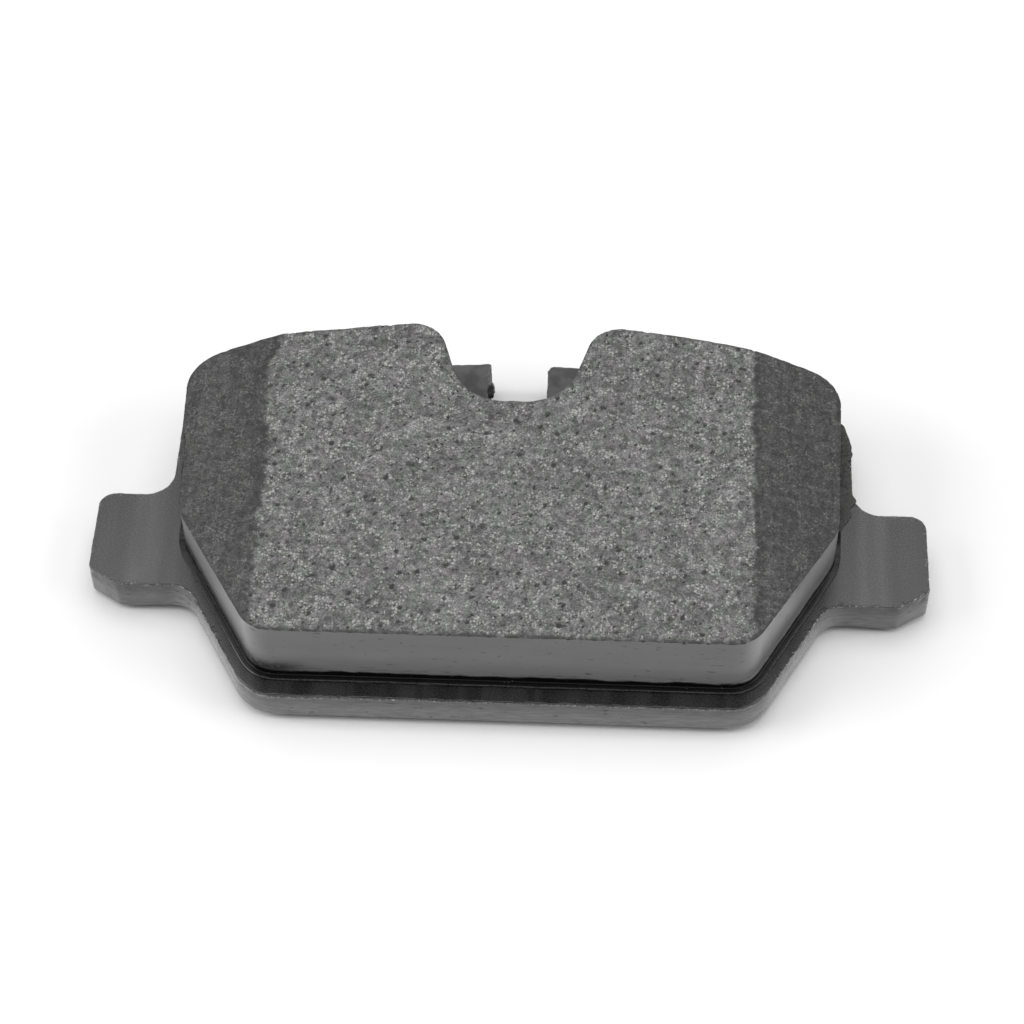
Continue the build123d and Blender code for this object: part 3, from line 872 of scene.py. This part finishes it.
class PAD_OT_backing_plate(bpy.types.Operator):
    """Builds the backing plate, with its rolled lower edge, sheared sides and ragged top edge"""

    bl_idname = "brake_pad.backing_plate"
    bl_label = "Backing plate"

    def execute(self, context):
        look = context.scene.pad_plate
        low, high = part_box("backing_plate")
        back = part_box("shim_adhesive")[1].z
        outlines = rims("backing_plate", high.z)
        step = 0.3 * MM
        ring = evenly(outlines[0], step, 0.14 * MM)
        x, y = ring.T
        # the tab at the slot's right has a rounder corner than the other
        slot_side = np.abs(x[np.abs(y - high.y) < 0.05 * MM]).min() - 0.6 * MM
        round_corner = 0.9 * MM
        middle = np.array([slot_side, high.y]) + round_corner * np.array([1, -1])
        beyond = (x > 0) & (x < middle[0]) & (y > middle[1])
        far = np.maximum(np.hypot(*(ring - middle).T), round_corner)[:, None]
        ring = np.where(beyond[:, None], middle + (ring - middle) * round_corner / far, ring)
        x, y = ring.T
        along = np.arange(len(ring)) * step
        ears = bump_up(np.abs(x), 50 * MM, 56 * MM)
        roll = look.die_roll * (1 - 0.6 * ears)
        roll_in, roll_up = quarter_turn(8)
        burr_up, burr_in = quarter_turn(5)
        tall = high.z - back
        side = np.concatenate([np.linspace(0.08, 0.8, 10), np.linspace(0.84, 0.99, 8)])[:, None]
        burr = look.burr * np.clip(1 + 0.7 * rough(along, 0, 0.9 * MM, 71, 3), 0.25, None)
        broken = bump_up(side, 0.55, 0.8)
        tear = 0.06 * MM * broken * rough(along[None], side * tall, 0.8 * MM, 74, 3)
        out = np.vstack([
            -roll * 1.35 - 0.06 * MM,
            -roll * roll_in - 0.06 * MM,
            -0.05 * MM * broken + tear - 0.06 * MM + 0 * along,
            -0.11 * MM - burr * burr_in,
            -0.11 * MM - burr * np.array([[1.5], [2.4]]),
            -0.85 * MM + 0 * along[None],
        ])
        up = np.vstack([
            back + 0 * roll,
            back + roll * roll_up,
            back + roll + (tall - roll - burr) * side,
            high.z - burr * burr_up,
            high.z + 0 * np.ones((3, 1)) * along,
        ])
        # along the front the coat reaches a little way down the side, most of all at the left
        coated = 0.28 * MM * bump_up(-outward(ring)[:, 1], 0.3, 0.8)
        coated *= (1 + bump_up(-x, 12 * MM, 32 * MM)) * bump_up(-np.abs(x), -42 * MM, -37 * MM)
        rise = up + coated
        on_side = bump_up(out, -0.5 * roll, -0.1 * roll) * bump_up(high.z - rise, 0, 0.3 * MM)
        dull = bump_up(y, 19 * MM, 22 * MM) * bump_up(-np.abs(x), -18 * MM, -14 * MM) + 0 * up
        on_edge = hump(rise - high.z, -0.4 * MM, -0.14 * MM, -0.02 * MM, 0.15 * MM)
        on_edge = on_edge * bump_up(out, -0.34 * MM, -0.2 * MM)
        on_edge = on_edge * np.clip(0.76 + 0.3 * rough(along, 0, 8 * MM, 77, 2), 0, 1)
        shell = Shell()
        skin = swept(ring, out, up)
        # the press has dragged the corner of the tab at the slot's left
        near = bump_up(-np.hypot(skin[..., 0] + slot_side, skin[..., 1] - high.y), -1.5 * MM, 0)
        skin[..., 0] += 0.5 * MM * near
        skin[..., 1] = np.minimum(skin[..., 1] + 0.35 * MM * near, high.y)
        numbers = shell.add(skin, side=on_side, edge=on_edge, dull=dull)
        shell.skin(numbers)
        upper, lower, dent = [numbers[-1]], [numbers[0]], back - low.z
        for hole in outlines[1:]:
            well = evenly(hole, HOLE_STEP)[::-1]
            if np.ptp(well[:, 0]) > PIP_LIMIT:
                wall = shell.tube(well, [high.z, back])
                upper.append(wall[0])
                lower.append(wall[-1])
            else:
                dimple = shell.tube(well, [high.z, high.z - dent])
                shell.cap(dimple[-1], up=True)
                upper.append(dimple[0])
                pip = shell.tube(well, [back, low.z + 0.1 * MM, low.z])
                shell.cap(pip[-1], up=False)
                lower.append(pip[0])
        shell.cap(*upper, up=True)
        shell.cap(*lower, up=False)
        shell.piece("backing_plate", plate_finish(look), "coated_plate")
        return {"FINISHED"}


# ---- film and shim
class PadSheets(bpy.types.PropertyGroup):
    """Colours of the bonding film and of the shim's layers."""

    film: shade("Film", (0.02, 0.014, 0.01), "Colour of the baked bonding film")
    rubber: shade("Rubber", (0.022, 0.022, 0.023), "Colour of the shim's rubber coat")
    steel: shade("Steel", (0.42, 0.42, 0.43), "Colour of the shim's steel")
    adhesive: shade("Adhesive", (0.36, 0.30, 0.2), "Colour of the shim's adhesive")
    press: length("Edge radius", 0.05, "Rounding of the punched edges")


def film_finish(look):
    """Baked adhesive film, mottled brown."""
    made = Finish("bonding_film", Roughness=0.5, Specular_IOR_Level=0.5)
    mottle = made.cloud(0.9 * MM, 3.0)
    made.colour(made.varied(made.band(mottle, 0.35, 0.65), look.film, 1, 1.8))
    made.relief((mottle, 0.01 * MM))
    return made.material


def rubber_finish(look):
    """Rubber coat rolled on to steel strip: matt, with a faint pebble and roller lines."""
    made = Finish("shim_rubber", Specular_IOR_Level=0.4, IOR=1.5)
    pebble = made.cloud(0.3 * MM, 3.0, 0.6)
    lines = made.cloud(0.8 * MM, x=20, y=0.6)
    scuff = made.cloud(7 * MM, 4.0)
    body = made.varied(made.band(lines, 0.3, 0.7), look.rubber, 0.85, 1.2)
    body = made.blend(made.band(scuff, 0.5, 0.75, 0.0, 0.5), body, scaled(look.rubber, 2.2))
    made.colour(body)
    made.gloss(made.band(scuff, 0.35, 0.65, 0.5, 0.66))
    made.relief((pebble, 0.012 * MM), (lines, 0.006 * MM))
    return made.material


def steel_finish(look):
    """Cold-rolled steel, seen at its punched edge: bright, drawn out along the edge."""
    made = Finish("shim_steel", Metallic=1.0)
    drawn = made.cloud(0.25 * MM, 3.0, z=6)
    made.colour(made.varied(drawn, look.steel, 0.75, 1))
    made.gloss(made.band(drawn, 0.3, 0.7, 0.28, 0.45))
    made.relief((drawn, 0.01 * MM))
    return made.material


def adhesive_finish(look):
    """Pressure-sensitive adhesive, cloudy and slightly glossy."""
    made = Finish("shim_adhesive", Roughness=0.34, Specular_IOR_Level=0.5)
    haze = made.cloud(1.4 * MM, 3.0)
    made.colour(made.varied(haze, look.adhesive, 0.8, 1))
    made.relief((haze, 0.01 * MM))
    return made.material


def sheet_piece(node, finish, slot, edge, ragged, seed):
    """A punched sheet: its CAD outline with rounded edges, and with the CAD's own round holes."""
    low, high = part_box(node)
    outlines = rims(node, low.z)
    step = 0.5 * MM
    ring = evenly(outlines[0], step, 0.15 * MM)
    along = np.arange(len(ring)) * step
    edge = min(edge, 0.45 * (high.z - low.z))
    waver = ragged * rough(along, 0, 2 * MM, seed, 3) - ragged
    falling, rising = quarter_turn(5)
    out = np.vstack([-edge * falling, -edge * rising]) + waver
    up = np.vstack([low.z + edge * rising, high.z - edge * falling])
    shell = Shell()
    numbers = shell.add(swept(ring, out, up + 0 * waver))
    shell.skin(numbers)
    upper, lower = [numbers[-1]], [numbers[0]]
    for hole in outlines[1:]:
        wall = shell.tube(evenly(hole, HOLE_STEP)[::-1], [high.z, low.z])
        upper.append(wall[0])
        lower.append(wall[-1])
    shell.cap(*upper, up=True)
    shell.cap(*lower, up=False)
    shell.piece(node, finish, slot)


class PAD_OT_sheets(bpy.types.Operator):
    """Builds the bonding film and the four layers of the shim"""

    bl_idname = "brake_pad.sheets"
    bl_label = "Film and shim"

    def execute(self, context):
        look = context.scene.pad_sheets
        rubber = rubber_finish(look)
        sheets = (
            ("bonding_film", film_finish(look), "bonding_film", 0.12),
            ("shim_outer_rubber", rubber, "shim_rubber", 0.04),
            ("shim_steel", steel_finish(look), "shim_steel", 0.01),
            ("shim_inner_rubber", rubber, "shim_rubber", 0.04),
            ("shim_adhesive", adhesive_finish(look), "shim_adhesive", 0.2),
        )
        for number, (node, finish, slot, ragged) in enumerate(sheets):
            sheet_piece(node, finish, slot, look.press, ragged * MM, 81 + 3 * number)
        return {"FINISHED"}


# ---- stage
def power(name, default, description):
    """A light's power setting, in watts."""
    return FloatProperty(name=name, description=description, default=default, unit="POWER")


def point(name, default, description):
    """A place setting, in metres."""
    kind = {"default": default, "subtype": "XYZ", "unit": "LENGTH"}
    return FloatVectorProperty(name=name, description=description, **kind)


class PadStage(bpy.types.PropertyGroup):
    """Floor, light and camera."""

    floor: shade("Floor", (0.825, 0.825, 0.825), "Colour of the floor")
    sky: FloatProperty(name="Sky", description="Strength of the even light", default=0.29, min=0)
    key: power("Key light", 7.8, "Power of the large light overhead")
    left: power("Left light", 6.4, "Power of the low light at the left")
    right: power("Right light", 4.8, "Power of the low light at the right")
    eye: point("Camera", (0.015127, -0.245841, 0.33669), "Where the camera stands")
    aim: point("Aim", (-0.0000725, 0.0068148, 0.0008), "Point that the camera looks at")
    roll: FloatProperty(
        name="Roll", description="Tilt of the camera", default=math.radians(-1.0286), unit="ROTATION"
    )
    lens: FloatProperty(
        name="Lens", description="Focal length for a 36 mm wide sensor", default=97.97, unit="CAMERA"
    )


def lamp(name, place, width, power):
    """A square soft light that faces the origin."""
    light = bpy.data.lights.new(name, "AREA")
    light.shape, light.size, light.energy = "SQUARE", width, power
    made = bpy.data.objects.new(name, light)
    made.location = place
    made.rotation_euler = (-Vector(place)).to_track_quat("-Z", "Y").to_euler()
    bpy.context.scene.collection.objects.link(made)


class PAD_OT_stage(bpy.types.Operator):
    """Sets up a pale floor, soft studio light and the camera"""

    bl_idname = "brake_pad.stage"
    bl_label = "Stage"

    def execute(self, context):
        look = context.scene.pad_stage
        scene = context.scene
        scene.view_settings.view_transform = "Standard"
        half = 1.5
        corners = [(-half, half, 0), (half, half, 0), (half, -half, 0), (-half, -half, 0)]
        mesh = bpy.data.meshes.new("floor")
        mesh.from_pydata(corners, [], [range(4)])
        floor = bpy.data.objects.new("floor", mesh)
        finish = Finish("floor_finish", Roughness=0.7, Specular_IOR_Level=0.2)
        finish.colour(look.floor)
        mesh.materials.append(finish.material)
        scene.collection.objects.link(floor)

        world = bpy.data.worlds.new("studio")
        world.use_nodes = True
        background = world.node_tree.nodes["Background"]
        background.inputs["Color"].default_value = (1, 1, 1, 1)
        background.inputs["Strength"].default_value = look.sky
        scene.world = world
        lamp("key_light", (0.0, 0.16, 1.0), 1.1, look.key)
        lamp("left_light", (-0.9, -0.1, 0.55), 0.6, look.left)
        lamp("right_light", (0.9, -0.1, 0.55), 0.6, look.right)

        data = bpy.data.cameras.new("camera")
        data.lens, data.sensor_width = look.lens, 36
        camera = bpy.data.objects.new("camera", data)
        back = Vector(look.eye) - Vector(look.aim)
        turn = back.to_track_quat("Z", "Y").to_matrix() @ Matrix.Rotation(look.roll, 3, "Z")
        camera.matrix_world = Matrix.Translation(look.eye) @ turn.to_4x4()
        data.clip_start, data.clip_end = 0.01, 20
        scene.collection.objects.link(camera)
        scene.camera = camera
        return {"FINISHED"}


# ---- panel and registration
STEPS = (
    PAD_OT_stage,
    PAD_OT_sheets,
    PAD_OT_backing_plate,
    PAD_OT_underlayer,
    PAD_OT_friction_block,
)
GROUPS = {
    "pad_friction": PadFriction,
    "pad_underlayer": PadUnderlayer,
    "pad_plate": PadPlate,
    "pad_sheets": PadSheets,
    "pad_stage": PadStage,
}


class PAD_PT_panel(bpy.types.Panel):
    """Settings and build steps of the brake pad"""

    bl_idname = "PAD_PT_panel"
    bl_label = "Brake Pad"
    bl_space_type = "VIEW_3D"
    bl_region_type = "UI"
    bl_category = "Brake Pad"

    def draw(self, context):
        for name, group in GROUPS.items():
            box = self.layout.box()
            for setting in group.__annotations__:
                box.prop(getattr(context.scene, name), setting)
        for step in STEPS:
            self.layout.operator(step.bl_idname)


def register():
    for made in (*GROUPS.values(), *STEPS, PAD_PT_panel):
        bpy.utils.register_class(made)
    for name, group in GROUPS.items():
        setattr(bpy.types.Scene, name, PointerProperty(type=group))


def unregister():
    for name in GROUPS:
        delattr(bpy.types.Scene, name)
    for made in (PAD_PT_panel, *STEPS, *GROUPS.values()):
        bpy.utils.unregister_class(made)


def main():
    register()
    bpy.ops.brake_pad.stage()
    bpy.ops.brake_pad.sheets()
    bpy.ops.brake_pad.backing_plate()
    bpy.ops.brake_pad.underlayer()
    bpy.ops.brake_pad.friction_block()


if __name__ == "__main__":
    main()
